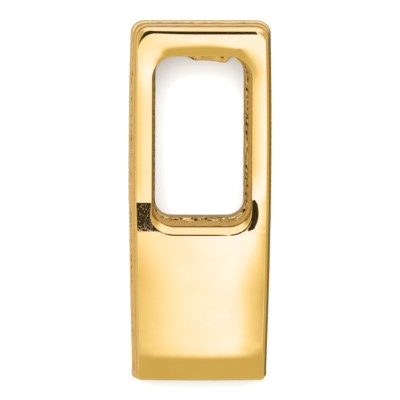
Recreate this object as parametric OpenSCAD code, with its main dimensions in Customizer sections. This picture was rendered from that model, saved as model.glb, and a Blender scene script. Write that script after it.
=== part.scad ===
// Slide pendant of polished yellow gold, lying on its back.
// X runs across the pendant, +Y to its top end, +Z out of its face. The flat back is at z = 0.

/* [Body] */
// Length of the pendant from top end to bottom end
body_length = 20; // [16:0.5:30]
// Width of the back at the widest place
body_width = 8; // [7.4:0.02:12]
// How much each side wall leans in between the back and the bars' face
side_lean = 0.3; // [0.1:0.02:0.5]
// How much each side draws in at the bottom end
side_draw = 0.24; // [0.1:0.02:0.6]
// Distance of the widest place from the top end
widest_from_top = 7.5; // [5:0.1:10]
// Depth of the top bar and the side bars along the middle
bar_depth = 3.78; // [3.2:0.02:5]
// How far the lower plate stands above the bars
plate_rise = 0.38; // [0.1:0.02:0.8]
// Drop of the crowned face from the middle to its sides
crown_drop = 0.4; // [0.1:0.02:0.8]

/* [Corners and edges] */
// Radius of the two top corners, seen from the front
top_corner_r = 0.7; // [0.4:0.05:1.2]
// Radius of the two bottom corners, seen from the front
bottom_corner_r = 0.35; // [0.2:0.05:0.8]
// Radius of the roll at the front edge of the top end
top_roll_r = 0.35; // [0.2:0.05:0.6]
// Radius of the turn at the bottom end of the face
end_turn_r = 1.3; // [0.8:0.05:1.8]

/* [Window] */
// Width of the window between the side bars
window_width = 5.4; // [4.4:0.05:5.8]
// Length of the window
window_length = 9.35; // [5:0.05:12]
// Height of the top bar above the window
top_bar = 1.75; // [1.2:0.05:2.5]
// Radius of the window's corners
window_corner_r = 1.25; // [0.6:0.05:1.8]
// Width of the sloped lip under the window
lip_width = 0.48; // [0.2:0.02:0.6]
// Depth of the sloped lip under the window
lip_depth = 0.48; // [0.3:0.02:0.8]
// Width of the slope under the top bar
brow_width = 0.6; // [0.2:0.02:0.8]
// Depth of the slope under the top bar
brow_depth = 0.3; // [0.2:0.02:0.4]
// Length of the ramp from the bars up to the lower plate
ramp_length = 1.65; // [1:0.05:3]
// How far the ramp starts above the window's bottom edge
ramp_above = 1.22; // [0.8:0.02:2.5]
// Slope of the ramp at its foot, in degrees, where it meets the lower plate
ramp_foot_slope = 3; // [2:0.5:6]

/* [Back frame and seam] */
// Thickness of the back frame
back_thickness = 1.3; // [1.1:0.05:2]
// Height of the seam between the front shell and the back frame
seam_height = 0.14; // [0.08:0.01:0.25]
// Depth of the seam
seam_depth = 0.07; // [0.04:0.01:0.12]
// How far the ragged ledge hangs below the top bar at its lowest tip
ledge_drop = 0.9; // [0.6:0.05:1.4]
// Thickness of the ragged ledge
ledge_thickness = 0.8; // [0.4:0.05:0.85]
// Height of the ragged ledge above the back
ledge_up = 0.2; // [0.1:0.05:0.25]
// Wall of the hollow behind the lower plate
wall = 0.5; // [0.35:0.05:0.7]

/* [Hidden] */
top_y = body_length / 2;
bottom_y = -body_length / 2;
widest_y = top_y - widest_from_top;
window_top_y = top_y - top_bar;
window_bottom_y = window_top_y - window_length;
ramp_top_y = window_bottom_y + ramp_above;
plate_top_y = ramp_top_y - ramp_length;
turn_y = bottom_y + end_turn_r;
plate_depth = bar_depth + plate_rise;
// Slope of the ramp at its head, in degrees
ramp_head_slope = 2 * atan(plate_rise / ramp_length) - ramp_foot_slope;
// Radii of the long arcs, along each side, across the face and up the ramp, and how far a side wall leans in
// for each millimetre of height
side_arc_r = arc_r(widest_y - bottom_y, side_draw);
lean_rate = side_lean / bar_depth;
crown_r = arc_r(body_width / 2, crown_drop);
ramp_r = ramp_length / (sin(ramp_head_slope) - sin(ramp_foot_slope));
// How far solids that cut or trim run past the faces that they meet
past = 1;
// Edges of the long arcs and of the small round corners
long_edges = 1440;
short_edges = 96;
// Edge of the ragged ledge. Columns: place across, as a share of half the window, and drop, as a share of
// ledge_drop
ledge_edge = [
    [-1.0, 0.12],
    [-0.62, 0.2],
    [-0.34, 0.18],
    [-0.24, 0.3],
    [-0.08, 0.56],
    [0.37, 0.64],
    [0.53, 0.76],
    [0.64, 0.44],
    [0.71, 0.36],
    [0.89, 0.9],
    [1.0, 1.0]
];

// Radius of an arc that leaves its tangent by the distance rise over the length run
function arc_r(run, rise) = (run * run + rise * rise) / (2 * rise);

// Half the width at y
function side_x(y) =
    body_width / 2 - side_arc_r + sqrt(side_arc_r * side_arc_r - (y - widest_y) * (y - widest_y));

// Slice between the two long side walls, drawn in by inset, from the height low up to the height high
module side_arcs(inset, low, high) {
    intersection() {
        side_arc(-1, inset, low, high);
        side_arc(1, inset, low, high);
    }
}

// Round slice whose rim is the side wall on one side
module side_arc(side, inset, low, high) {
    base_r = side_arc_r - inset;
    translate([side * (body_width / 2 - side_arc_r), widest_y, low])
        cylinder(
            r1 = base_r - lean_rate * low,
            r2 = base_r - lean_rate * high,
            h = high - low,
            $fn = long_edges
        );
}

// Cuts that leave the two corners of one end round, drawn in by inset. The way is 1 at the top end and -1 at
// the bottom end.
module corner_cuts(end_y, way, r, inset = 0) {
    centre_y = end_y - way * r;
    centre_x = side_x(centre_y) - r;
    outer_x = centre_x + r + past;
    for (side = [-1, 1]) {
        translate([0, 0, -past])
            linear_extrude(height = plate_depth + 3 * past)
                difference() {
                    translate([min(side * centre_x, side * outer_x), min(centre_y, end_y + way * past)])
                        square([r + past, r + past]);
                    translate([side * centre_x, centre_y])
                        circle(r = r - inset, $fn = short_edges);
                }
    }
}

// Block from y = low to y = high whose top is crowned, with its middle line at the height depth
module crowned_block(low, high, depth) {
    intersection() {
        translate([-body_width, low, 0])
            cube([2 * body_width, high - low, depth + past]);
        translate([0, low, depth - crown_r])
            rotate([-90, 0, 0])
                cylinder(r = crown_r, h = high - low, $fn = long_edges);
    }
}

// The lower plate and the ramp up to it, which is part of a crowned barrel
module plate_and_ramp() {
    barrel_y = plate_top_y - ramp_r * sin(ramp_foot_slope);
    intersection() {
        crowned_block(bottom_y, ramp_top_y + past, plate_depth);
        union() {
            translate([-body_width, bottom_y - past, -past])
                cube([2 * body_width, barrel_y - bottom_y + past, plate_depth + 3 * past]);
            translate([0, barrel_y, plate_depth - ramp_r * cos(ramp_foot_slope)])
                rotate([0, 90, 0])
                    rotate_extrude($fn = long_edges / 2)
                        intersection() {
                            translate([0, -body_width / 2 - past])
                                square([ramp_r, body_width + 2 * past]);
                            translate([ramp_r - crown_r, 0])
                                circle(r = crown_r, $fn = long_edges);
                        }
        }
    }
}

// Cut that leaves a round edge of radius r along X, at the end end_y and the height depth
module edge_cut(end_y, way, depth, r) {
    rotate([90, 0, 90])
        translate([0, 0, -body_width])
            linear_extrude(height = 2 * body_width)
                difference() {
                    translate([min(end_y - way * r, end_y + way * past), depth - r])
                        square([r + past, r + past]);
                    translate([end_y - way * r, depth - r])
                        circle(r = r, $fn = short_edges);
                }
}

// Outline of the window, made larger all round by grow
module window_outline(grow = 0) {
    r = window_corner_r + grow;
    x = window_width / 2 + grow;
    high = window_top_y + grow;
    low = window_bottom_y - grow;
    translate([-x, low + r])
        square([2 * x, high - low - 2 * r]);
    translate([-x + r, low])
        square([2 * x - 2 * r, high - low]);
    for (side = [-1, 1], y = [low + r, high - r]) {
        translate([side * (x - r), y])
            circle(r = r, $fn = short_edges);
    }
}

// Cut of the window, square through from front to back
module window_cut() {
    translate([0, 0, -past])
        linear_extrude(height = plate_depth + 2 * past)
            window_outline();
}

// Sloped cut along one end of the window and round its two corners, from the window's wall at the height
// depth - drop out to the distance spread from the wall at the height depth
module slope_cut(end_y, way, depth, drop, spread) {
    centre_y = end_y - way * window_corner_r;
    centre_x = window_width / 2 - window_corner_r;
    for (side = [-1, 1]) {
        translate([side * centre_x, centre_y, depth - drop])
            cylinder(
                r1 = window_corner_r,
                r2 = window_corner_r + 2 * spread,
                h = 2 * drop,
                $fn = short_edges
            );
    }
    rotate([90, 0, 90])
        translate([0, 0, -centre_x])
            linear_extrude(height = 2 * centre_x)
                polygon([
                    [centre_y, depth - drop],
                    [end_y, depth - drop],
                    [end_y + way * 2 * spread, depth + drop],
                    [centre_y, depth + drop]
                ]);
}

// The lip under the window
module lip_cut() {
    slope_cut(window_bottom_y, -1, plate_depth, lip_depth, lip_width);
}

// The slope under the top bar
module brow_cut() {
    slope_cut(window_top_y, 1, bar_depth, brow_depth, brow_width);
}

// Groove of the seam in the window's wall
module inner_seam() {
    translate([0, 0, back_thickness])
        linear_extrude(height = seam_height)
            window_outline(seam_depth);
}

// Groove of the seam round the outside
module outer_seam() {
    difference() {
        translate([-body_width, bottom_y - past, back_thickness])
            cube([2 * body_width, body_length + 2 * past, seam_height]);
        difference() {
            intersection() {
                side_arcs(seam_depth, 0, plate_depth);
                translate([-body_width, bottom_y + seam_depth, 0])
                    cube([2 * body_width, body_length - 2 * seam_depth, plate_depth]);
            }
            corner_cuts(top_y, 1, top_corner_r, seam_depth);
            corner_cuts(bottom_y, -1, bottom_corner_r, seam_depth);
        }
    }
}

// Closed hollow behind the lower plate
module hollow() {
    intersection() {
        side_arcs(wall, wall, plate_depth);
        crowned_block(turn_y, plate_top_y - wall, plate_depth - wall);
    }
}

// Front shell and back frame, soldered into one
module shell() {
    difference() {
        intersection() {
            union() {
                crowned_block(plate_top_y, top_y, bar_depth);
                plate_and_ramp();
            }
            side_arcs(0, -past, plate_depth + past);
        }
        corner_cuts(top_y, 1, top_corner_r);
        corner_cuts(bottom_y, -1, bottom_corner_r);
        edge_cut(top_y, 1, bar_depth, top_roll_r);
        edge_cut(bottom_y, -1, plate_depth, end_turn_r);
        window_cut();
        lip_cut();
        brow_cut();
        inner_seam();
        outer_seam();
        hollow();
    }
}

// Ragged ledge of the back frame, behind the window's top edge
module ragged_ledge() {
    root_y = window_top_y + top_bar / 3;
    half = window_width / 2 + seam_depth;
    translate([0, 0, ledge_up])
        linear_extrude(height = ledge_thickness)
            polygon(concat(
                [[half, root_y], [-half, root_y]],
                [for (p = ledge_edge) [half * p[0], window_top_y - ledge_drop * p[1]]]
            ));
}

module slide_body() {
    color("goldenrod") {
        shell();
        ragged_ledge();
    }
}

slide_body();
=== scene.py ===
import math

import bmesh
import bpy
from mathutils import Matrix, Vector, noise


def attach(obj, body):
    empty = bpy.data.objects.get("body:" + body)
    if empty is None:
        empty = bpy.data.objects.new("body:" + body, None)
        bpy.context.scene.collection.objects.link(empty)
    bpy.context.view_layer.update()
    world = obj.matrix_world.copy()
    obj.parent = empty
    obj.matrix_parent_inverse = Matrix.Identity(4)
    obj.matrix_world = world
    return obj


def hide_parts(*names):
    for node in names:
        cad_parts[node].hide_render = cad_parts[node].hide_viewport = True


# Slide pendant of polished yellow gold on a white surface.
# Lengths are in millimetres unless a comment says otherwise. A mesh is scaled to metres in its last step.
MM = 0.001

# Ends and sides of the back, how far the outer walls lean in from there, and their corners
TOP_Y = 10.0
BOTTOM_Y = -10.0
BODY_WIDTH = 8.0
SIDE_LEAN = 0.3
END_LEAN = 0.17
RIM_TOP_R = 0.7
RIM_BOTTOM_R = 0.24
# How far each side draws in at the bottom end, and where the body is widest
SIDE_DRAW = 0.24
WIDEST_Y = 2.5
# The wall's top stands in from the back's edge at the two ends
WALL_TOP_Y = TOP_Y - END_LEAN
WALL_FOOT_Y = BOTTOM_Y + END_LEAN
# The walls reach their full lean over the height that they stand, which is less than the bars' depth
WALL_LEAN_SHARE = 1.2

# Depth of the bars, and how far the lower plate stands above them
BAR_DEPTH = 3.78
PLATE_RISE = 0.38
PLATE_DEPTH = BAR_DEPTH + PLATE_RISE
# How far the crowned face drops from its middle to its sides
PLATE_CROWN_DROP = 0.4
BAR_CROWN_DROP = 0.2
TOP_LEFT_CROWN_DROP = 0.26
TOP_RIGHT_CROWN_DROP = 0.06
# Where the bars' crown starts to change to that of the top edge, and up to where the plate has its full crown
CROWN_CHANGE_Y = 6.5
PLATE_CROWN_Y = -5.0
# Slope of the bars, down towards the top end. The plate slopes the same way above a place where it is level.
BAR_PITCH = 0.014
PLATE_PITCH = 0.05
PLATE_PITCH_Y = -4.6

# Ramp between the bars and the lower plate, and how fast it steepens, so that it drops by PLATE_RISE in all
RAMP_TOP_Y = 0.11
RAMP_KNEE_Y = -1.44
PLATE_TOP_Y = -1.6
RAMP_KNEE_SLOPE = 0.18
RAMP_RUN = RAMP_TOP_Y - RAMP_KNEE_Y
RAMP_BEND = (PLATE_RISE - RAMP_KNEE_SLOPE * (RAMP_RUN + (RAMP_KNEE_Y - PLATE_TOP_Y) / 2)) / RAMP_RUN**2
# How much nearer to the top end the ramp lies on the right, and where that starts and over which width
RAMP_STEP = 0.15
RAMP_STEP_X = 1.2
RAMP_STEP_WIDTH = 1.4

# Bottom end, where the face turns down
END_Y = -7.8
END_DROP = 1.3
END_LENGTH = END_Y - WALL_FOOT_Y

# Edge of the face: its top corners, how far it stands in from the outer wall, and the roll down to that wall
FACE_LEFT_R = 1.1
FACE_RIGHT_R = 0.5
FACE_TOP_INSET = 0.42
FACE_LEFT_INSET = 0.05
FACE_RIGHT_INSET = 0.16
ROLL_DEPTH = 0.38
ROLL_LEAST = 0.1

# Window, and how far its walls lean in towards the back
WINDOW_X = 2.75
WINDOW_TOP_Y = 8.22
WINDOW_BOTTOM_Y = -1.24
WINDOW_R = 1.25
WINDOW_SIDE_LEAN = 0.3
WINDOW_FOOT_LEAN = 0.4
WINDOW_HEAD_LEAN = 0.1
# The window stands a little to the left. The shift fades out over this width at the body's sides.
WINDOW_SHIFT = -0.04
SHIFT_FADE = 1.2

# Lip round the window: thin at the sides, and wide and deep at the bottom, with its upper edge rounded
SIDE_LIP = 0.05
LIP = 0.46
LIP_DEPTH = 0.375
LIP_ROUND = 0.4
# Where it starts to grow on each side, and over which length
LIP_LEFT_Y = 0.1
LIP_LEFT_LENGTH = 1.25
LIP_RIGHT_Y = -0.08
LIP_RIGHT_LENGTH = 1.15

# Brow, the slope under the top bar: how far it runs down each side of the window. A sag is the depth by which
# the face has sunk at the window's edge. It fades out over the reach, by the power.
BROW_FOOT_LEFT = 2.5
BROW_FOOT_RIGHT = 1.9
BROW_SAG = 0.215
BROW_REACH = 0.75
BROW_POWER = 1.5
BROW_LEFT_SAG = 0.185
BROW_LEFT_REACH = 1.08
BROW_RIGHT_SAG = 0.173
BROW_RIGHT_REACH = 0.92
BROW_END_POWER = 2.0
# Where the brow's ends give way to its middle, and over which widths
BROW_LEFT_X = -2.7
BROW_LEFT_WIDTH = 2.6
BROW_RIGHT_X = 2.9
BROW_RIGHT_WIDTH = 2.4
# Share of the left end's sag on the window's straight side, and the width over which it grows to the whole
BROW_SIDE_SHARE = 0.65
BROW_SIDE_WIDTH = 0.9

# Rounded inner edge of the right bar, and where it starts and over which length
BAR_SAG = 0.12
BAR_SAG_REACH = 0.72
BAR_SAG_POWER = 1.5
BAR_SAG_Y = -0.1
BAR_SAG_LENGTH = 2.2
# Hollow beside the lip, on the right, from its middle up and down
HOLLOW_Y = -0.42
HOLLOW_LENGTH = 0.7
HOLLOW_SAG = 0.034
HOLLOW_REACH = 0.42
# Softened outer edges of the two bars
LEFT_OUTER_SAG = 0.016
LEFT_OUTER_REACH = 0.45
RIGHT_OUTER_SAG = 0.014
RIGHT_OUTER_REACH = 0.6
RIGHT_OUTER_LOW_Y = -4.0
RIGHT_OUTER_HIGH_Y = 3.0
RIGHT_OUTER_FADE = 2.5

# Seam between the shell and the back frame, and the fine line above it outside: height, depth and half width
SEAM_Z = 1.37
SEAM_DEEP = 0.06
SEAM_HALF = 0.05
FINE_Z = 2.7
FINE_DEEP = 0.03
FINE_HALF = 0.025
# How unevenly the seam is filled outside, and the lumps of that for each millimetre
SEAM_UNEVEN = 0.5
SEAM_LUMPS = 3
# Bevel at the back's edges
EDGE = 0.04
# Depth of the file marks outside, of the rough band on the window's wall, and of the dents all over that wall
FILE_MARKS = 0.004
BAND_ROUGH = 0.05
WALL_DENTS = 0.006
# Heights at which the rough band starts and ends, and over which it fades
BAND_LOW_Z = 1.15
BAND_LOW_FADE = 0.15
BAND_HIGH_Z = 2.6
BAND_HIGH_FADE = 0.3
# Lumps for each millimetre across and up, in the two layers of the rough band, the dents and the file marks
BAND_LUMPS = (7, 9)
FINE_BAND_LUMPS = (15, 15)
FINE_BAND_SHARE = 0.6
DENT_LUMPS = (4, 6)
FILE_LUMPS = (6, 2)

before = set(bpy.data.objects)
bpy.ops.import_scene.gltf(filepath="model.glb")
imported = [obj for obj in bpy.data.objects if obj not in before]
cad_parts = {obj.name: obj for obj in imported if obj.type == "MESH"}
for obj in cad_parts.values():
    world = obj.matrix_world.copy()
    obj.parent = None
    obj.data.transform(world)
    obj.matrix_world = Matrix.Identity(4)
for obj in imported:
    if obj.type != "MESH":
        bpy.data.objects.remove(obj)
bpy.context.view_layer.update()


def mix(a, b, f):
    return a + (b - a) * f


def mix2(a, b, f):
    return (mix(a[0], b[0], f), mix(a[1], b[1], f))


def ease(f):
    f = min(1.0, max(0.0, f))
    return f * f * (3 - 2 * f)


def round_end(cx, cy, r, degrees):
    a = math.radians(degrees)
    return (cx + r * math.cos(a), cy + r * math.sin(a))


# The long curves of the pendant
def arc_r(run, rise):
    return (run * run + rise * rise) / (2 * rise)


SIDE_R = arc_r(WIDEST_Y - BOTTOM_Y, SIDE_DRAW)
PLATE_CROWN_R = arc_r(BODY_WIDTH / 2, PLATE_CROWN_DROP)
BAR_CROWN_R = arc_r(BODY_WIDTH / 2, BAR_CROWN_DROP)
TOP_LEFT_CROWN_R = arc_r(BODY_WIDTH / 2, TOP_LEFT_CROWN_DROP)
TOP_RIGHT_CROWN_R = arc_r(BODY_WIDTH / 2, TOP_RIGHT_CROWN_DROP)


def arch(r, x):
    """Drop of an arc of radius r at the distance x from its middle."""
    return r - math.sqrt(r * r - x * x)


def unrolled(y):
    """Distance along the face for a place y, counted past the turn at the bottom end."""
    if y >= END_Y:
        return y
    return END_Y - END_LENGTH * math.asin(min(1.0, (END_Y - y) / END_LENGTH))


def rolled(v):
    """Place y and drop of the face for a distance v along it."""
    if v >= END_Y:
        return v, 0.0
    t = min((END_Y - v) / END_LENGTH, math.pi / 2)
    return END_Y - END_LENGTH * math.sin(t), END_DROP * (1 - math.cos(t))


def ramp_drop(y):
    """Drop of the ramp below the lower plate: a steep upper part and a quick bend at its foot."""
    foot = max(0.0, min(y, RAMP_KNEE_Y) - PLATE_TOP_Y)
    run = max(0.0, min(y, RAMP_TOP_Y) - RAMP_KNEE_Y)
    bend = RAMP_KNEE_SLOPE * foot**2 / (2 * (RAMP_KNEE_Y - PLATE_TOP_Y))
    return bend + RAMP_KNEE_SLOPE * run + RAMP_BEND * run**2


def side_x(y):
    """Half the width of the face at y: the side walls lean in with height."""
    _, drop = rolled(unrolled(y))
    height = (PLATE_DEPTH - ramp_drop(y) - drop) / BAR_DEPTH
    return BODY_WIDTH / 2 - SIDE_LEAN * height - SIDE_R + math.sqrt(SIDE_R**2 - (y - WIDEST_Y) ** 2)


def face_z(x, y, drop=0.0):
    """Height of the polished face, with a crown of its own on the plate, on the bars and at the top edge."""
    top_r = TOP_LEFT_CROWN_R if x < 0 else TOP_RIGHT_CROWN_R
    top = ease((y - CROWN_CHANGE_Y) / (WALL_TOP_Y - CROWN_CHANGE_Y))
    bars = mix(arch(BAR_CROWN_R, x), arch(top_r, x), top)
    share = ease((y - PLATE_CROWN_Y) / (RAMP_TOP_Y - PLATE_CROWN_Y))
    crown = mix(arch(PLATE_CROWN_R, x), bars, share)
    fall = max(0.0, min(y, PLATE_TOP_Y) - PLATE_PITCH_Y)
    plate_pitch = PLATE_PITCH * fall**2 / (2 * (PLATE_TOP_Y - PLATE_PITCH_Y))
    pitch = plate_pitch + BAR_PITCH * max(0.0, y - RAMP_TOP_Y)
    step_up = RAMP_STEP * ease((x - RAMP_STEP_X) / RAMP_STEP_WIDTH)
    return PLATE_DEPTH - ramp_drop(y - step_up) - crown - pitch - drop


# Stations round one half of the window, from the middle of the top bar to the middle of the lower plate
TOP_STATIONS = 36
CORNER_STATIONS = 56
SIDE_STATIONS = 120
FAN_STATIONS = 90
FOOT_STATIONS = 40
# Share of the corner's stations that goes round the outer corner, and of the fan's that goes down the side
CORNER_SHARE = 0.55
FAN_SHARE = 0.9
# Distance between the stations at the ramp's top
RAMP_TOP_GAP = 0.01


def half_stations(side_inset, face_r):
    """For each station the window's wall, its outward direction, the outer edge of the face and the rim."""
    wx = WINDOW_X - WINDOW_R
    top_cy = WINDOW_TOP_Y - WINDOW_R
    low_cy = WINDOW_BOTTOM_Y + WINDOW_R
    rim_cy = WALL_TOP_Y - RIM_TOP_R
    rim_cx = side_x(rim_cy) - RIM_TOP_R
    face_cy = WALL_TOP_Y - FACE_TOP_INSET - face_r
    face_cx = side_x(face_cy) - side_inset - face_r
    foot_cy = WALL_FOOT_Y + RIM_BOTTOM_R
    foot_cx = side_x(foot_cy) - RIM_BOTTOM_R
    made = []
    for k in range(TOP_STATIONS):
        f = k / TOP_STATIONS
        face = (face_cx * f, WALL_TOP_Y - FACE_TOP_INSET)
        made.append(((wx * f, WINDOW_TOP_Y), (0, 1), face, (rim_cx * f, WALL_TOP_Y)))
    for k in range(CORNER_STATIONS):
        f = k / CORNER_STATIONS
        turn = 90 * (1 - f)
        w = round_end(wx, top_cy, WINDOW_R, turn)
        out = round_end(0, 0, 1, turn)
        g = min(f / CORNER_SHARE, 1.0)
        if g < 1:
            face = round_end(face_cx, face_cy, face_r, 90 * (1 - g))
            rim = round_end(rim_cx, rim_cy, RIM_TOP_R, 90 * (1 - g))
        else:
            h = (f - CORNER_SHARE) / (1 - CORNER_SHARE)
            y = mix(face_cy, top_cy, h)
            face = (side_x(y) - side_inset, y)
            y = mix(rim_cy, top_cy, h)
            rim = (side_x(y), y)
        made.append((w, out, face, rim))
    rows = [mix(top_cy, RAMP_TOP_Y + RAMP_TOP_GAP, k / SIDE_STATIONS) for k in range(SIDE_STATIONS + 1)]
    rows += [RAMP_TOP_Y, RAMP_TOP_Y - RAMP_TOP_GAP, mix(RAMP_TOP_Y, low_cy, 0.5)]
    for y in rows:
        made.append(((WINDOW_X, y), (1, 0), (side_x(y) - side_inset, y), (side_x(y), y)))
    long_side = low_cy - unrolled(foot_cy)
    for k in range(FAN_STATIONS):
        f = k / FAN_STATIONS
        turn = -90 * f
        w = round_end(wx, low_cy, WINDOW_R, turn)
        out = round_end(0, 0, 1, turn)
        g = f / FAN_SHARE
        if g < 1:
            y, _ = rolled(low_cy - long_side * g)
            inset = side_inset * ease((y - foot_cy) / (END_Y - foot_cy))
            face = (side_x(y) - inset, y)
            rim = (side_x(y), y)
        else:
            face = rim = round_end(foot_cx, foot_cy, RIM_BOTTOM_R, -90 * (f - FAN_SHARE) / (1 - FAN_SHARE))
        made.append((w, out, face, rim))
    for k in range(FOOT_STATIONS + 1):
        f = 1 - k / FOOT_STATIONS
        foot = (foot_cx * f, WALL_FOOT_Y)
        made.append(((wx * f, WINDOW_BOTTOM_Y), (0, -1), foot, foot))
    return made


def brow_share(y, side):
    """0 on the bars and 1 under the top bar, where the face slopes down to the window."""
    foot = WINDOW_TOP_Y - (BROW_FOOT_LEFT if side < 0 else BROW_FOOT_RIGHT)
    return ease((y - foot) / (WINDOW_TOP_Y - foot))


def edge_sag(w, side, away):
    """How far the face has sunk towards the window, at the distance away from the window's edge at w."""
    x, y = w
    brow = brow_share(y, side)
    middle = ease((x - BROW_LEFT_X) / BROW_LEFT_WIDTH) * ease((BROW_RIGHT_X - x) / BROW_RIGHT_WIDTH)
    brow_reach = mix(BROW_LEFT_REACH if x < 0 else BROW_RIGHT_REACH, BROW_REACH, middle)
    left_sag = BROW_LEFT_SAG * mix(BROW_SIDE_SHARE, 1.0, ease((x + WINDOW_X) / BROW_SIDE_WIDTH))
    brow_sag = mix(left_sag if x < 0 else BROW_RIGHT_SAG, BROW_SAG, middle)
    bar_sag = BAR_SAG * ease((y - BAR_SAG_Y) / BAR_SAG_LENGTH) if side > 0 else 0.0
    reach = mix(BAR_SAG_REACH, brow_reach, brow) if side > 0 else brow_reach
    power = mix(BAR_SAG_POWER, mix(BROW_END_POWER, BROW_POWER, middle), brow)
    return mix(bar_sag, brow_sag, brow) * max(0.0, 1 - away / reach) ** power


def hollow_sag(x, y):
    """How far the face has sunk in the hollow beside the lip, by the distance from the lip."""
    run = x - (WINDOW_X - WINDOW_R)
    if run <= 0:
        return 0.0
    low_cy = WINDOW_BOTTOM_Y + WINDOW_R
    fall = min(0.0, y - low_cy)
    from_centre = math.hypot(run, fall)
    near_y = y if fall == 0 else low_cy + WINDOW_R * fall / from_centre
    hollow = 1 - ((near_y - HOLLOW_Y) / HOLLOW_LENGTH) ** 2
    if hollow <= 0:
        return 0.0
    away = max(0.0, from_centre - WINDOW_R - lip_at(near_y, 1)[0])
    round_in = math.sqrt(hollow)
    return HOLLOW_SAG * round_in * max(0.0, 1 - away / (HOLLOW_REACH * round_in)) ** BAR_SAG_POWER


def outer_sag(x, y, to_edge, side):
    """How far the face has sunk towards the outer edge of a bar."""
    if side < 0:
        share = ease(y - RAMP_TOP_Y) * ease((WINDOW_TOP_Y - y) / WINDOW_R)
        return LEFT_OUTER_SAG * share * max(0.0, 1 - to_edge / LEFT_OUTER_REACH) ** 2
    share = ease((y - RIGHT_OUTER_LOW_Y) / RIGHT_OUTER_FADE)
    share *= ease((RIGHT_OUTER_HIGH_Y - y) / RIGHT_OUTER_FADE)
    to_side = side_x(y) - FACE_RIGHT_INSET - x
    return RIGHT_OUTER_SAG * share * max(0.0, 1 - to_side / RIGHT_OUTER_REACH) ** 2


def lip_at(y, side):
    """Width and depth of the lip, and how round it is: 0 at the bottom, where it is flat, and 1 elsewhere."""
    start, length = (LIP_LEFT_Y, LIP_LEFT_LENGTH) if side < 0 else (LIP_RIGHT_Y, LIP_RIGHT_LENGTH)
    f = ease((start - y) / length)
    return mix(SIDE_LIP, LIP, f), mix(SIDE_LIP, LIP_DEPTH, f), 1.0 - f


def lean_in(out, z, top):
    """How far the window's wall stands in at the height z, from its place at the face."""
    along = WINDOW_FOOT_LEAN if out[1] < 0 else WINDOW_HEAD_LEAN
    return (out[0] ** 2 * WINDOW_SIDE_LEAN + out[1] ** 2 * along) * max(0.0, 1 - z / top)


def lean_out(z, top):
    """How far the outer walls have leaned out at the height z, as a share of their whole lean."""
    return min(1.0, max(0.0, top - z) / BAR_DEPTH * WALL_LEAN_SHARE)


def lumps(x, y, z, across, up):
    """Smooth noise with about so many lumps for each millimetre across and up."""
    return noise.noise(Vector((x * across, y * across, z * up)))


def solder_bite(x, y, z):
    """Rough solder and casting skin on the window's wall."""
    band = ease((z - BAND_LOW_Z) / BAND_LOW_FADE) * ease((BAND_HIGH_Z - z) / BAND_HIGH_FADE)
    rough = lumps(x, y, z, *BAND_LUMPS) + FINE_BAND_SHARE * lumps(x, y, z, *FINE_BAND_LUMPS)
    return band * BAND_ROUGH * rough + WALL_DENTS * lumps(x, y, z, *DENT_LUMPS)


def groove(z, at, half):
    """Share of a groove's depth at the height z: 1 at the height at, and less than 0.4 farther off than half."""
    return math.exp(-(((z - at) / half) ** 2))


def rim_inward(rim, side):
    """Direction from the rim into the metal, seen from the front."""
    for end, way, r in ((WALL_TOP_Y, 1, RIM_TOP_R), (WALL_FOOT_Y, -1, RIM_BOTTOM_R)):
        centre = Vector((side * (side_x(end - way * r) - r), end - way * r))
        away = Vector((rim[0], rim[1])) - centre
        if away.y * way > 0:
            return -away.normalized() if away.x * side > 0 else Vector((0, -way))
    return Vector((-side, 0))


# Rings of the section, from the window's wall at the back up over the face and down to the rim at the back.
# The numbers are heights on the walls, close together at the seam, and shares of the depth on the lip.
WALL_RINGS = (
    0.0, 0.05, 0.3, 0.6, 0.9, 1.1, 1.2, *(1.25 + 0.05 * k for k in range(26)), 2.6, 2.75, 2.9, 3.05, 3.2, 3.3,
    3.4,
)
LIP_RINGS = (1.0, 0.97, 0.9, 0.75, 0.6, 0.45, 0.35, 0.28, 0.21, 0.14, 0.08, 0.03, 0.0)
FACE_RINGS = 36
ROLL_RINGS = 9
RIM_RINGS = (
    3.1, 2.9, 2.75, 2.72, 2.7, 2.68, 2.65, 2.4, 2.1, 1.85, 1.72, 1.6, 1.5, 1.43, 1.37, 1.31, 1.24, 1.15, 1.05,
    0.9, 0.5, 0.05, 0.0,
)
# Least distance of the walls' rings below the wall's top, and that of one more ring right under the lip
WALL_GAP = 0.06
RIM_GAP = 0.05
LIP_GAP = 0.02
# The first ring of the face lies close to the lip, as a share of the way out. The others crowd by this power.
FIRST_FACE_RING = 0.004
FACE_CROWDING = 1.35


def wall_points(w, out, wall_top, side):
    """The window's wall, from the back up to the lip."""
    points = []
    for z in WALL_RINGS:
        height = z * min(1.0, (wall_top - WALL_GAP) / WALL_RINGS[-1])
        bite = EDGE if z == 0.0 else SEAM_DEEP * groove(z, SEAM_Z, SEAM_HALF)
        bite += solder_bite(w[0] * side, w[1], z) - lean_in(out, height, wall_top)
        points.append((w[0] + out[0] * bite, w[1] + out[1] * bite, height, "wall"))
    points.append((w[0], w[1], wall_top - LIP_GAP, "wall"))
    return points


def lip_points(w, out, edge_z, lip):
    """The lip, from the window's wall up to the height edge_z at the face."""
    width, depth, roundness = lip
    points = []
    for a in LIP_RINGS:
        flat = (a * a / LIP_ROUND / 2 if a < LIP_ROUND else a - LIP_ROUND / 2) / (1 - LIP_ROUND / 2)
        drop = depth * mix(flat, a * a, roundness)
        grow = width * (1 - a)
        points.append((w[0] + out[0] * grow, w[1] + out[1] * grow, edge_z - drop, "lip"))
    return points


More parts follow.
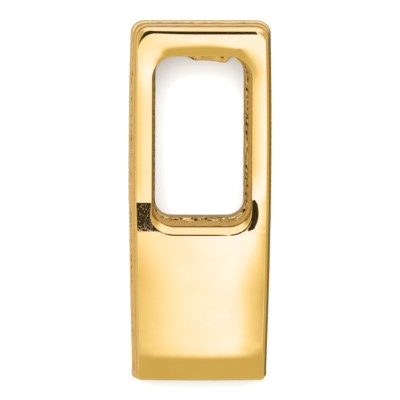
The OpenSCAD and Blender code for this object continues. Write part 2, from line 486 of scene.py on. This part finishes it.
def face_points(w, start, face, side):
    """The polished face, from its start at the lip out to its edge."""
    points = []
    face_v = (face[0], unrolled(face[1]))
    for k in range(1, FACE_RINGS + 1):
        f = k / FACE_RINGS
        f = FIRST_FACE_RING if k == 1 else mix(f, 1 - (1 - f) ** FACE_CROWDING, 0.5)
        x, v = mix2(start, face_v, f)
        y, drop = rolled(v)
        z = face_z(x, y, drop) - edge_sag(w, side, math.dist((x, v), start)) - hollow_sag(x, y)
        points.append((x, y, z - outer_sag(x, y, math.dist((x, v), face_v), side), "face"))
    return points


def rim_points(face, rim, edge_z, side):
    """The roll at the edge of the face, and the outer wall down to the back."""
    points = []
    tall = max(ROLL_LEAST, min(math.dist(face, rim), ROLL_DEPTH))
    for k in range(1, ROLL_RINGS + 1):
        a = math.pi / 2 * k / ROLL_RINGS
        x, y = mix2(face, rim, math.sin(a))
        points.append((x, y, edge_z - tall * (1 - math.cos(a)), "face"))
    rim_top = edge_z - tall
    n = rim_inward(rim, side)
    for z in RIM_RINGS:
        height = z * min(1.0, (rim_top - RIM_GAP) / RIM_RINGS[0])
        grow = lean_out(height, rim_top)
        x = rim[0] * (1 + SIDE_LEAN / BODY_WIDTH * 2 * grow)
        y = rim[1] * (1 + END_LEAN / WALL_TOP_Y * grow)
        uneven = 1 + SEAM_UNEVEN * noise.noise(Vector((x, y, 0)) * SEAM_LUMPS)
        bite = SEAM_DEEP * groove(z, SEAM_Z, SEAM_HALF) * uneven
        bite += FINE_DEEP * groove(z, FINE_Z, FINE_HALF)
        bite += FILE_MARKS * (1 + lumps(x, y, z, *FILE_LUMPS))
        if z == RIM_RINGS[-1]:
            bite = EDGE
        points.append((x + n.x * bite, y + n.y * bite, height, "rim"))
    return points


def section(w, out, face, rim, side):
    """Points of one section, and the part of the pendant that each belongs to."""
    lip = lip_at(w[1], side)
    width, depth, _ = lip
    start = (w[0] + out[0] * width, w[1] + out[1] * width)
    edge_z = face_z(*start) - edge_sag(w, side, 0.0) - hollow_sag(*start)
    points = wall_points(w, out, edge_z - depth, side) + lip_points(w, out, edge_z, lip)
    points += face_points(w, start, face, side)
    points += rim_points(face, rim, points[-1][2], side)
    shifts = [WINDOW_SHIFT * ease((BODY_WIDTH / 2 - abs(p[0])) / SHIFT_FADE) for p in points]
    return [(x + shift, y, z, part) for (x, y, z, part), shift in zip(points, shifts)]


# Material of each part of the section
FINISHES = {"wall": 1, "lip": 0, "face": 0, "rim": 2}


# The pendant's body: one loop of stations, extruded ring by ring along the section and closed across the back
def make_body():
    stations = [(*s, 1) for s in half_stations(FACE_RIGHT_INSET, FACE_RIGHT_R)]
    stations += [
        ((-w[0], w[1]), (-o[0], o[1]), (-g[0], g[1]), (-p[0], p[1]), -1)
        for w, o, g, p in reversed(half_stations(FACE_LEFT_INSET, FACE_LEFT_R)[1:-1])
    ]
    sections = [section(*s) for s in stations]
    bm = bmesh.new()
    station = bm.verts.layers.int.new("station")
    made = bmesh.ops.create_circle(bm, segments=len(stations), radius=1)
    for i, v in enumerate(made["verts"]):
        v[station] = i
        v.co = Vector(sections[i][0][:3])
    first = bm.edges[:]
    edges = first
    for r in range(1, len(sections[0])):
        grown = bmesh.ops.extrude_edge_only(bm, edges=edges)["geom"]
        ring = {g for g in grown if isinstance(g, bmesh.types.BMVert)}
        edges = [g for g in grown if isinstance(g, bmesh.types.BMEdge) and ring.issuperset(g.verts)]
        for v in ring:
            v.co = Vector(sections[v[station]][r][:3])
        for g in grown:
            if isinstance(g, bmesh.types.BMFace):
                g.material_index = FINISHES[sections[0][r][3]]
    bmesh.ops.bridge_loops(bm, edges=first + edges)
    bmesh.ops.recalc_face_normals(bm, faces=bm.faces)
    for f in bm.faces:
        f.smooth = True
    bmesh.ops.scale(bm, vec=(MM, MM, MM), verts=bm.verts)
    return bm


def as_object(bm, name, materials):
    mesh = bpy.data.meshes.new(name)
    bm.to_mesh(mesh)
    bm.free()
    for m in materials:
        mesh.materials.append(m)
    obj = bpy.data.objects.new(name, mesh)
    bpy.context.scene.collection.objects.link(obj)
    return obj


# Node helpers. An input is a number, a colour or another node's output.
def feed(tree, socket, value):
    if isinstance(value, bpy.types.NodeSocket):
        tree.links.new(value, socket)
    else:
        socket.default_value = value


def add(tree, kind, inputs=(), **settings):
    made = tree.nodes.new(kind)
    for key, value in settings.items():
        setattr(made, key, value)
    for key, value in dict(inputs).items():
        feed(tree, made.inputs[key], value)
    return made


def math_of(tree, operation, *values):
    return add(tree, "ShaderNodeMath", dict(enumerate(values)), operation=operation).outputs[0]


def times(tree, a, b):
    return math_of(tree, "MULTIPLY", a, b)


def step(tree, value, low, high):
    """0 at low and 1 at high, with a soft change between; low may be above high."""
    turned = low > high
    limits = {
        "Value": value,
        "From Min": min(low, high),
        "From Max": max(low, high),
        "To Min": float(turned),
        "To Max": float(not turned),
    }
    made = add(tree, "ShaderNodeMapRange", limits, interpolation_type="SMOOTHSTEP", clamp=True)
    return made.outputs["Result"]


def between(tree, value, low, high, soft):
    """1 from low to high, with soft ends."""
    return times(tree, step(tree, value, low - soft, low + soft), step(tree, value, high + soft, high - soft))


def ramp(tree, value, points):
    """Colours along a value from 0 to 1: points are pairs of a place and a colour."""
    made = add(tree, "ShaderNodeValToRGB", {"Fac": value})
    for k, (at, color) in enumerate(points):
        stop = made.color_ramp.elements[k] if k < 2 else made.color_ramp.elements.new(at)
        stop.position = at
        stop.color = (*color, 1)
    return made.outputs["Color"]


def grain(tree, place, scale, detail=3.0, stretch=(1, 1, 1)):
    """Noise of about scale lumps per millimetre. Along an axis with a small stretch they are drawn out."""
    scales = [scale * k for k in stretch]
    turned = add(tree, "ShaderNodeMapping", {"Vector": place, "Scale": scales})
    made = add(tree, "ShaderNodeTexNoise", {"Vector": turned.outputs[0], "Scale": 1.0, "Detail": detail})
    return made.outputs["Fac"]


def blend(tree, mask, under, over):
    """The colour under where the mask is 0, and over where it is 1."""
    mixed = add(tree, "ShaderNodeMix", {"Factor": mask}, data_type="RGBA")
    for slot_name, value in (("A", under), ("B", over)):
        socket = next(i for i in mixed.inputs if i.name == slot_name and i.type == "RGBA")
        feed(tree, socket, value if isinstance(value, bpy.types.NodeSocket) else (*value, 1))
    return next(o for o in mixed.outputs if o.type == "RGBA")


def new_gold(name):
    """A metal, its node tree, its shader, and the place on the piece in millimetres."""
    material = bpy.data.materials.new(name)
    material.use_nodes = True
    tree = material.node_tree
    shader = tree.nodes["Principled BSDF"]
    shader.inputs["Metallic"].default_value = 1.0
    object_place = add(tree, "ShaderNodeTexCoord").outputs["Object"]
    scaled = add(tree, "ShaderNodeVectorMath", {0: object_place, "Scale": 1 / MM}, operation="SCALE")
    return material, tree, shader, scaled.outputs[0]


def axis_of(tree, place, axis):
    return add(tree, "ShaderNodeSeparateXYZ", {0: place}).outputs[axis]


def height_of(tree, place, scale, wander):
    """Height on the piece, moved up and down by the noise of so many lumps per millimetre."""
    moved = math_of(tree, "MULTIPLY_ADD", grain(tree, place, scale), wander, -wander / 2)
    return math_of(tree, "ADD", axis_of(tree, place, "Z"), moved)


def finish(tree, shader, color, roughness, height, bump_mm, edge_white=None):
    """Link up a metal. The edge_white is how white it turns when it is seen at a flat angle."""
    tree.links.new(color, shader.inputs["Base Color"])
    if edge_white is not None:
        tree.links.new(blend(tree, edge_white, color, (1.0, 1.0, 1.0)), shader.inputs["Specular Tint"])
    tree.links.new(roughness, shader.inputs["Roughness"])
    bump = add(tree, "ShaderNodeBump", {"Height": height, "Distance": bump_mm * MM, "Strength": 1.0})
    tree.links.new(bump.outputs["Normal"], shader.inputs["Normal"])


# Span of the noise's values that takes up a material's whole range of roughness
NOISE_LOW = 0.3
NOISE_HIGH = 0.7


def rough_from(tree, value, low, high):
    limits = {"Value": value, "To Min": low, "To Max": high, "From Min": NOISE_LOW, "From Max": NOISE_HIGH}
    return add(tree, "ShaderNodeMapRange", limits, clamp=True).outputs["Result"]


# Colours of the polished gold, its clouds, the flecks and painted glints in the window, and the solder outside
GOLD = (0.95, 0.68, 0.30)
GOLD_CLOUD = (0.93, 0.645, 0.265)
FLECK = (0.10, 0.06, 0.02)
PAINTED_GLINT = (1.0, 0.80, 0.44)
SOLDER_SPOT = (0.20, 0.13, 0.05)
# Scratched patch on the left of the lower plate, and the depth of its scratches, for one of the fine marks
PATCH_X = (-3.7, -2.78)
PATCH_Y = (-1.5, 0.1)
PATCH_SOFT = 0.06
PATCH_DEEP = 34.0
# Depth of the polish's waves, for one of the fine marks
WAVES_DEEP = 12.0


def polished_gold():
    """Mirror polish with cloudy colour, faint waves and fine marks of the polishing wheel."""
    material, tree, shader, place = new_gold("polished_gold")
    color = blend(tree, step(tree, grain(tree, place, 0.45, detail=2.0), 0.35, 0.7), GOLD, GOLD_CLOUD)
    marks = grain(tree, place, 9.0, detail=2.0, stretch=(1, 0.12, 1))
    waves = grain(tree, place, 0.8, detail=1.0)
    height = math_of(tree, "MULTIPLY_ADD", waves, WAVES_DEEP, marks)
    patch_x = between(tree, axis_of(tree, place, "X"), *PATCH_X, PATCH_SOFT)
    patch_y = between(tree, axis_of(tree, place, "Y"), *PATCH_Y, PATCH_SOFT)
    scratches = grain(tree, place, 16.0, detail=2.0, stretch=(1, 0.5, 1))
    scratches = times(tree, scratches, times(tree, patch_x, patch_y))
    height = math_of(tree, "MULTIPLY_ADD", scratches, PATCH_DEEP, height)
    roughness = rough_from(tree, grain(tree, place, 2.5), 0.035, 0.08)
    finish(tree, shader, color, roughness, height, bump_mm=0.0004)
    return material


# Colours up the window's wall, at shares of the lower plate's depth. The wall is browner and darker than the
# polished gold, which is painted shade for the dim surroundings that it reflects. The bright line just below the
# seam is a painted highlight, the dark line at the top under the lip is painted shade, and the darker band at
# the seam is the seam's own rough metal.
WINDOW_COLORS_AND_PAINTED_LIGHT = (
    (0.0, (0.54, 0.37, 0.17)),
    (0.23, (0.55, 0.37, 0.16)),
    (0.27, (0.95, 0.70, 0.33)),
    (0.31, (0.46, 0.29, 0.09)),
    (0.40, (0.52, 0.33, 0.09)),
    (0.46, (0.74, 0.49, 0.18)),
    (0.78, (0.74, 0.48, 0.17)),
    (0.81, (0.30, 0.18, 0.06)),
)
# Band of flecks and painted glints round the seam, in the window and outside: low, high and the softness of both
# ends
WINDOW_SEAM = (0.95, 1.9, 0.2)
RIM_SEAM = (1.15, 1.6, 0.1)
# How white the window's wall turns at a flat angle, and how much more its painted glints do
WINDOW_EDGE_WHITE = 0.35
GLINT_EDGE_WHITE = 0.5


def window_gold():
    """The window's wall: smooth back frame, a rough soldered seam, and cast skin above it. Its colours hold
    painted shade, a painted highlight line and painted glints.
    """
    material, tree, shader, place = new_gold("window_wall_gold")
    height_up = height_of(tree, place, 3.0, wander=0.5)
    # Colours up the wall, with painted shade and a painted highlight line in them
    colors_and_painted_light = ramp(tree, math_of(tree, "DIVIDE", height_up, PLATE_DEPTH), WINDOW_COLORS_AND_PAINTED_LIGHT)
    seam = between(tree, height_up, *WINDOW_SEAM)
    fine = grain(tree, place, 5.0, stretch=(1, 1, 0.35))
    flecks = times(tree, step(tree, fine, 0.51, 0.55), seam)
    color = blend(tree, flecks, colors_and_painted_light, FLECK)
    coarse = grain(tree, place, 3.6, detail=2.0, stretch=(1, 1, 0.45))
    # Painted glints: bright spots scattered through the seam band
    painted_glints = times(tree, step(tree, coarse, 0.52, 0.57), seam)
    color = blend(tree, painted_glints, color, PAINTED_GLINT)
    skin = times(tree, fine, step(tree, height_up, 0.8, 1.5))
    plain = math_of(tree, "MULTIPLY_ADD", flecks, -WINDOW_EDGE_WHITE, WINDOW_EDGE_WHITE)
    edge_white = math_of(tree, "MULTIPLY_ADD", painted_glints, GLINT_EDGE_WHITE, plain)
    finish(tree, shader, color, rough_from(tree, fine, 0.28, 0.5), skin, bump_mm=0.05, edge_white=edge_white)
    return material


# Colours up the outer wall, along the sides and at the top end, at shares of the lower plate's depth. Both are
# duller than the polished gold and darkest near the back, which is painted shade. At the top end the two
# brightest bands are painted highlights, and the dark lines lie at the seam, at the fine line and just under the
# roll.
SIDE_COLORS_AND_PAINTED_SHADE = (
    (0.0, (0.74, 0.56, 0.34)),
    (0.09, (0.76, 0.56, 0.30)),
    (0.19, (0.88, 0.64, 0.32)),
    (0.33, (0.86, 0.60, 0.28)),
    (0.38, (0.90, 0.62, 0.26)),
    (0.50, (0.88, 0.60, 0.24)),
    (0.61, (0.80, 0.54, 0.20)),
    (0.65, (0.66, 0.44, 0.15)),
    (0.70, (0.88, 0.62, 0.25)),
)
TOP_END_COLORS_AND_PAINTED_LIGHT = (
    (0.0, (0.66, 0.48, 0.26)),
    (0.14, (0.84, 0.62, 0.32)),
    (0.22, (1.0, 0.84, 0.46)),
    (0.28, (1.0, 0.80, 0.42)),
    (0.33, (0.28, 0.17, 0.05)),
    (0.39, (0.60, 0.38, 0.13)),
    (0.50, (0.98, 0.68, 0.30)),
    (0.58, (0.88, 0.58, 0.23)),
    (0.66, (0.50, 0.32, 0.11)),
    (0.725, (0.18, 0.11, 0.03)),
    (0.77, (0.95, 0.72, 0.38)),
    (0.81, (1.0, 0.84, 0.52)),
)
# Places y between which the colours change from the sides' to the top end's
TOP_END_START_Y = 9.0
TOP_END_FULL_Y = 9.6
RIM_EDGE_WHITE = 0.35


def rim_gold():
    """The outer wall: finished with a file along its length, with solder in the seam, and colours that hold
    painted shade and, at the top end, painted highlight bands.
    """
    material, tree, shader, place = new_gold("outer_wall_gold")
    height_up = height_of(tree, place, 1.5, wander=0.3)
    share_up = math_of(tree, "DIVIDE", height_up, PLATE_DEPTH)
    at_top = step(tree, axis_of(tree, place, "Y"), TOP_END_START_Y, TOP_END_FULL_Y)
    # Painted shade down the walls, and painted highlight bands at the top end, changing over by the place y
    colors_and_painted_light = blend(tree, at_top, ramp(tree, share_up, SIDE_COLORS_AND_PAINTED_SHADE), ramp(tree, share_up, TOP_END_COLORS_AND_PAINTED_LIGHT))
    solder = between(tree, height_up, *RIM_SEAM)
    clumps = step(tree, grain(tree, place, 1.1, detail=1.0, stretch=(1, 0.6, 0.2)), 0.42, 0.6)
    spots = times(tree, step(tree, grain(tree, place, 5.0, stretch=(1, 1, 0.5)), 0.5, 0.57), clumps)
    color = blend(tree, times(tree, spots, solder), colors_and_painted_light, SOLDER_SPOT)
    lines = grain(tree, place, 14.0, detail=2.0, stretch=(0.1, 0.05, 1))
    height = math_of(tree, "ADD", lines, times(tree, grain(tree, place, 9.0, detail=4.0), solder))
    roughness = rough_from(tree, lines, 0.14, 0.3)
    finish(tree, shader, color, roughness, height, bump_mm=0.012, edge_white=RIM_EDGE_WHITE)
    return material


# Colours of the torn metal, from its cracks to its ridges: painted shade in the cracks and a painted highlight
# on the ridges
TORN_COLORS_AND_PAINTED_LIGHT = (
    (0.33, (0.16, 0.10, 0.04)),
    (0.37, (0.88, 0.62, 0.27)),
    (0.55, (0.95, 0.68, 0.32)),
    (0.66, (1.0, 0.80, 0.46)),
)


def torn_gold():
    """Torn metal of the ledge, with a painted highlight on its ridges and painted shade in its cracks."""
    material, tree, shader, place = new_gold("torn_gold")
    fine = grain(tree, place, 3.0, detail=2.0)
    # The bump's noise also sets the colour: painted shade where it is low, painted highlight where it is high
    finish(tree, shader, ramp(tree, fine, TORN_COLORS_AND_PAINTED_LIGHT), rough_from(tree, fine, 0.3, 0.2), fine, bump_mm=0.02)
    return material


body = as_object(make_body(), "slide_pendant_body", [polished_gold(), window_gold(), rim_gold()])
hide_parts("slide_body")
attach(body, "root")

# Ragged ledge of the back frame behind the window's top edge. Points across and along, from left to right.
LEDGE_EDGE = (
    (-2.55, 8.12),
    (-1.2, 8.1),
    (-0.82, 8.05),
    (-0.36, 7.82),
    (0.3, 7.78),
    (0.87, 7.73),
    (1.3, 7.62),
    (1.45, 7.7),
    (1.62, 7.93),
    (1.84, 8.0),
    (2.08, 7.72),
    (2.32, 7.5),
    (2.56, 7.38),
)
LEDGE_LOW = 0.25
LEDGE_ROOT_Y = 8.7
# Thickness at the root, slope of the front down to the torn edge, and the least thickness there
LEDGE_THICKNESS = 0.75
LEDGE_SLOPE = 0.42
LEDGE_LEAST = 0.15
LEDGE_BEVEL = 0.05
# Longest edge in the ledge's mesh, and how often it is cut finer for that
LEDGE_MESH = 0.12
LEDGE_CUTS = 3
# Height of the lumps of torn metal, and how many there are for each millimetre, in two layers
LEDGE_ROUGH = 0.05
LEDGE_LUMPS = 1.7
FINE_LEDGE_LUMPS = 6
FINE_LEDGE_SHARE = 0.3


def make_ledge():
    bm = bmesh.new()
    edge = [bm.verts.new((x, y, LEDGE_LOW)) for x, y in LEDGE_EDGE]
    root = [bm.verts.new((x, LEDGE_ROOT_Y, LEDGE_LOW)) for x, _ in reversed(LEDGE_EDGE)]
    plate = bm.faces.new(edge + root)
    grown = bmesh.ops.extrude_face_region(bm, geom=[plate])["geom"]
    lifted = [g for g in grown if isinstance(g, bmesh.types.BMVert)]
    for v in lifted:
        v.co.z += max(LEDGE_LEAST, LEDGE_THICKNESS - LEDGE_SLOPE * (LEDGE_ROOT_Y - v.co.y))
    bmesh.ops.recalc_face_normals(bm, faces=bm.faces)
    bmesh.ops.bevel(
        bm, geom=bm.edges[:], offset=LEDGE_BEVEL, affect="EDGES", segments=2, profile=0.5, material=-1
    )
    bmesh.ops.triangulate(bm, faces=bm.faces[:])
    for _ in range(LEDGE_CUTS):
        long_edges = [e for e in bm.edges if e.calc_length() > LEDGE_MESH]
        bmesh.ops.subdivide_edges(bm, edges=long_edges, cuts=1, use_grid_fill=True)
        bmesh.ops.triangulate(bm, faces=bm.faces[:])
    bm.normal_update()
    moves = []
    for v in bm.verts:
        rough = noise.noise(v.co * LEDGE_LUMPS) + FINE_LEDGE_SHARE * noise.noise(v.co * FINE_LEDGE_LUMPS)
        moves.append(v.normal * LEDGE_ROUGH * rough)
    for v, move in zip(bm.verts, moves):
        v.co += move
    bmesh.ops.scale(bm, vec=(MM, MM, MM), verts=bm.verts)
    return bm


ledge = as_object(make_ledge(), "torn_ledge", [torn_gold()])
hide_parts("slide_body")
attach(ledge, "root")

# White surface, with half its width in metres
FLOOR_HALF = 1.0
PAPER = (0.9, 0.9, 0.9, 1)
PAPER_ROUGH = 0.8
bm = bmesh.new()
bmesh.ops.create_grid(bm, x_segments=1, y_segments=1, size=FLOOR_HALF)
paper = bpy.data.materials.new("white_paper")
paper.use_nodes = True
paper_shader = paper.node_tree.nodes["Principled BSDF"]
paper_shader.inputs["Base Color"].default_value = PAPER
paper_shader.inputs["Roughness"].default_value = PAPER_ROUGH
floor = as_object(bm, "white_surface", [paper])
floor.visible_glossy = False

# Studio light: boxes of light by their direction. Across is the lean from straight up towards +X, and along
# is the lean towards +Y, in degrees. The parts are those of the direction's unit vector.
world = bpy.data.worlds.new("studio")
bpy.context.scene.world = world
world.use_nodes = True
sky = world.node_tree
sky.nodes.clear()
direction = add(sky, "ShaderNodeTexCoord").outputs["Generated"]
parts = add(sky, "ShaderNodeSeparateXYZ", {0: direction}).outputs
DEGREE = 180 / math.pi
across = times(sky, math_of(sky, "ARCTAN2", parts["X"], parts["Z"]), DEGREE)
along = times(sky, math_of(sky, "ARCTAN2", parts["Y"], parts["Z"]), DEGREE)


def profile(value, points):
    """A brightness that changes along a lean: points are pairs of a lean in degrees and a brightness."""
    low, high = points[0][0], points[-1][0]
    span = add(sky, "ShaderNodeMapRange", {"Value": value, "From Min": low, "From Max": high})
    stops = [((at - low) / (high - low), (shine,) * 3) for at, shine in points]
    return ramp(sky, span.outputs["Result"], stops)


def lit(under, mask, shine):
    """The brightness shine where the mask is 1, and under where it is 0."""
    return add(sky, "ShaderNodeMix", {0: mask, 2: under, 3: shine}, data_type="FLOAT").outputs[0]


# Brightness of the studio from 0, the dark round the camera, to 1, the middle of the soft box
DIM = 0.5
LOW_RIGHT = 0.3
LOW_LEFT = 0.61
MOTTLE = 0.18
SOFT_BOX_ACROSS = (
    (-60, 0.55), (-20, 0.62), (-16, 0.68), (-9, 0.82), (-3, 0.9), (3, 0.95), (10, 1.0), (14, 0.95),
    (18, 0.74), (22, 0.52), (40, 0.5),
)
SOFT_BOX_ALONG = ((-35, 0.9), (-12, 0.92), (-5.5, 0.965), (-3.5, 1.0))
AHEAD_ALONG = ((50, 0.86), (110, 0.82), (150, 0.6), (160, 0.62), (168, 0.72), (180, 0.73))
# Edges of the boxes. Two numbers are where one side starts and where it is full. Three are where a box lies
# between, and how soft its sides are.
LOW_Z = (-0.5, -0.8)
LOW_RIGHT_X = (0.02, 0.06)
LOW_RIGHT_Y = (-0.17, 0.0, 0.03)
LOW_LEFT_X = (-0.02, -0.08)
AHEAD_X = (0.75, 0.45)
AHEAD_BOX = (51, 177, 3)
SOFT_BOX_LOW = (-36, -18)
SOFT_BOX_HIGH = (52, 48)
DARK_ACROSS = (-45, 8.5, 1.5)
DARK_ALONG = (7, 50, 1.5)
MOTTLE_SCALE = 70.0
MOTTLE_SPAN = (0.48, 0.72)

# What the walls see low down on each side
low_down = step(sky, parts["Z"], *LOW_Z)
low_right = times(sky, low_down, step(sky, parts["X"], *LOW_RIGHT_X))
low_right = times(sky, low_right, between(sky, parts["Y"], *LOW_RIGHT_Y))
brightness = lit(DIM, low_right, LOW_RIGHT)
low_left = times(sky, low_down, step(sky, parts["X"], *LOW_LEFT_X))
brightness = lit(brightness, low_left, LOW_LEFT)
# What the slopes see that face the top end
ahead = step(sky, math_of(sky, "ABSOLUTE", parts["X"]), *AHEAD_X)
ahead = times(sky, between(sky, along, *AHEAD_BOX), ahead)
brightness = lit(brightness, ahead, profile(along, AHEAD_ALONG))
# Soft box above, and the mottled dark of the camera and its stand
soft_box = times(sky, profile(across, SOFT_BOX_ACROSS), profile(along, SOFT_BOX_ALONG))
above = times(sky, step(sky, along, *SOFT_BOX_LOW), step(sky, along, *SOFT_BOX_HIGH))
brightness = lit(brightness, above, soft_box)
dark = times(sky, between(sky, across, *DARK_ACROSS), between(sky, along, *DARK_ALONG))
mottle = step(sky, grain(sky, direction, MOTTLE_SCALE), *MOTTLE_SPAN)
brightness = lit(brightness, dark, times(sky, mottle, MOTTLE))

# What each brightness shows: warm when dim, white and cool when bright
STRENGTH = 3.0
TONES = (
    (0.0, (0.023, 0.017, 0.011)),
    (0.3, (0.25, 0.2, 0.07)),
    (0.5, (0.67, 0.58, 0.27)),
    (0.65, (0.96, 0.89, 0.62)),
    (0.72, (1.04, 1.0, 0.87)),
    (0.8, (1.1, 1.13, 1.24)),
    (0.9, (1.2, 1.26, 1.93)),
    (1.0, (1.35, 1.37, 2.6)),
)
tone = ramp(sky, brightness, [(at, tuple(c / STRENGTH for c in color)) for at, color in TONES])
studio = add(sky, "ShaderNodeBackground", {"Color": tone, "Strength": STRENGTH}).outputs[0]
# Matt surfaces are lit by plain white light from all round
ROOM = 0.92
ROOM_COLOR = (0.92, 0.96, 1.0, 1)
room = add(sky, "ShaderNodeBackground", {"Color": ROOM_COLOR, "Strength": ROOM}).outputs[0]
matt = math_of(sky, "MINIMUM", add(sky, "ShaderNodeLightPath").outputs["Diffuse Depth"], 1.0)
both = add(sky, "ShaderNodeMixShader", {0: matt, 1: studio, 2: room}).outputs[0]
add(sky, "ShaderNodeOutputWorld", {"Surface": both})

# Key light for the floor and the pendant's shadow. Its leans and its spread are in degrees.
SUN_ENERGY = 2.9
SUN_COLOR = (0.95, 0.98, 1.0)
SUN_SPREAD = 50
SUN_ACROSS = -4
SUN_ALONG = 15
sun_data = bpy.data.lights.new("key_light", "SUN")
sun_data.energy = SUN_ENERGY
sun_data.color = SUN_COLOR
sun_data.angle = math.radians(SUN_SPREAD)
sun = bpy.data.objects.new("key_light", sun_data)
bpy.context.scene.collection.objects.link(sun)
sun.visible_glossy = False
toward = Vector((math.tan(math.radians(SUN_ACROSS)), math.tan(math.radians(SUN_ALONG)), 1)).normalized()
sun.rotation_mode = "QUATERNION"
sun.rotation_quaternion = toward.to_track_quat("Z", "Y")

# Camera: long lens, leaned a little to the left and towards the top end, in degrees. Its clip ends are in
# metres.
CAMERA_LEFT = 2.5
CAMERA_UP = 5.0
ROLL = 0.26
CAMERA_FAR = 800.0
LOOK_AT = (0.015, -0.04, 0.0)
PIXELS_PER_MM = 18.0
PICTURE = 400
SENSOR = 36
CLIP_NEAR = 0.01
CLIP_FAR = 10.0
camera_data = bpy.data.cameras.new("camera")
camera = bpy.data.objects.new("camera", camera_data)
bpy.context.scene.collection.objects.link(camera)
bpy.context.scene.camera = camera
left, high, roll = (math.radians(a) for a in (CAMERA_LEFT, CAMERA_UP, ROLL))
lean = Vector((-math.sin(left) * math.cos(high), math.sin(high), math.cos(left) * math.cos(high)))
level_right = Vector((math.cos(left), 0, math.sin(left)))
level_up = lean.cross(level_right)
right = level_right * math.cos(roll) + level_up * math.sin(roll)
up = -level_right * math.sin(roll) + level_up * math.cos(roll)
place = (Vector(LOOK_AT) + lean * CAMERA_FAR) * MM
camera_data.sensor_width = SENSOR
camera_data.lens = SENSOR * PIXELS_PER_MM * CAMERA_FAR / PICTURE
camera_data.clip_start = CLIP_NEAR
camera_data.clip_end = CLIP_FAR
camera.matrix_world = Matrix((
    (right.x, up.x, lean.x, place.x),
    (right.y, up.y, lean.y, place.y),
    (right.z, up.z, lean.z, place.z),
    (0, 0, 0, 1),
))
bpy.context.scene.view_settings.view_transform = "Standard"
